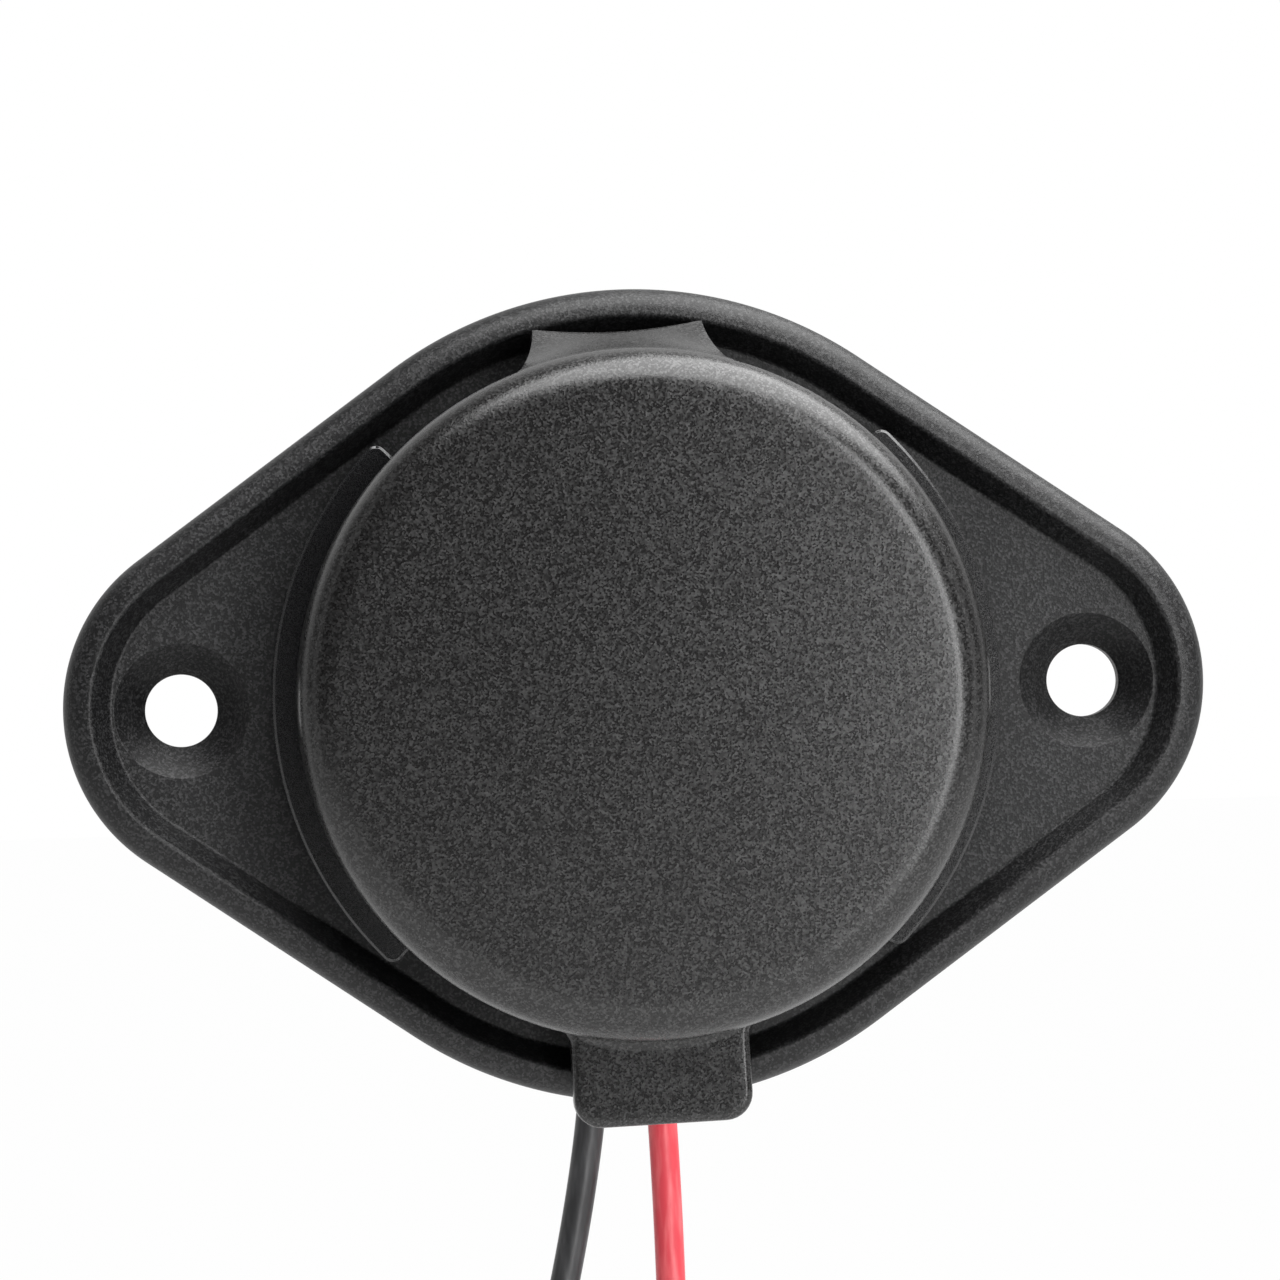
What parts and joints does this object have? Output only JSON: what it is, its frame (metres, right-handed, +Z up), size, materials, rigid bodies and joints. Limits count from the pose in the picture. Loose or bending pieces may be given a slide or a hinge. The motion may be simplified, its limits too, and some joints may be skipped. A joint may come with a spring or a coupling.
{
  "type": "dual usb socket",
  "caption": "Panel socket with stacked USB charging ports behind a hinged rubber dust cap, on a diamond screw flange, with a threaded barrel, ring nut and flying leads.",
  "frame": {"origin": "middle between the two screw holes, on the flange's back face, where the socket's axis meets the panel", "axes": "+X to the right along the flange, +Y backwards into the panel along the barrel, +Z up; the cap faces -Y"},
  "size_m": [0.063, 0.0618, 0.114],
  "materials": {
    "flange_plastic": "charcoal moulded plastic with a fine spark-eroded grain, satin",
    "housing_plastic": "black moulded plastic, polished",
    "nut_plastic": "black moulded plastic, plain",
    "face_plastic": "black moulded plastic, fine matt grain",
    "cap_rubber": "charcoal moulded rubber with a fine grain, dull",
    "port_steel": "drawn sheet steel, nickel plated",
    "tongue_plastic": "black moulded plastic",
    "contact_gold": "gold-plated spring strip",
    "board_laminate": "green solder mask on glass-cloth laminate",
    "choke_ferrite": "moulded ferrite, dark grey",
    "can_aluminium": "drawn aluminium can",
    "chip_epoxy": "black moulding compound",
    "pellet_ceramic": "fired ceramic body, tan",
    "grommet_rubber": "black moulded rubber",
    "tinned_copper": "stranded copper, tinned",
    "red_pvc": "red extruded insulation, semi-gloss",
    "black_pvc": "black extruded insulation, semi-gloss"
  },
  "bodies": {
    "base": {"mounting_flange": "flange_plastic", "socket_housing": "housing_plastic", "ring_nut": "nut_plastic", "face_plate": "face_plastic", "cap_strap": "cap_rubber", "usb_shell_upper": "port_steel", "usb_shell_lower": "port_steel", "usb_tongue_upper": "tongue_plastic", "usb_tongue_lower": "tongue_plastic", "usb_contacts_upper": "contact_gold", "usb_contacts_lower": "contact_gold", "circuit_board": "board_laminate", "choke": "choke_ferrite", "output_capacitor": "can_aluminium", "input_capacitor": "can_aluminium", "regulator_chip": "chip_epoxy", "rectifier_diode": "chip_epoxy", "chip_capacitors": "pellet_ceramic", "end_cover": "nut_plastic", "wire_grommet": "grommet_rubber", "solder_tails": "tinned_copper", "red_wire": "red_pvc", "black_wire": "black_pvc", "red_wire_end": "tinned_copper", "black_wire_end": "tinned_copper"},
    "cap": {"dust_cap": "cap_rubber"}
  },
  "joints": [
    {"name": "cap_hinge", "type": "hinge", "parent": "base", "child": "cap", "pos_m": [-0.00051, -0.0063, 0.01944], "axis": [-0.9997, 0, -0.0262], "range_deg": [0, 120], "stiffness_Nm_per_rad": 0.002, "deforming": ["cap_strap"]}
  ]
}
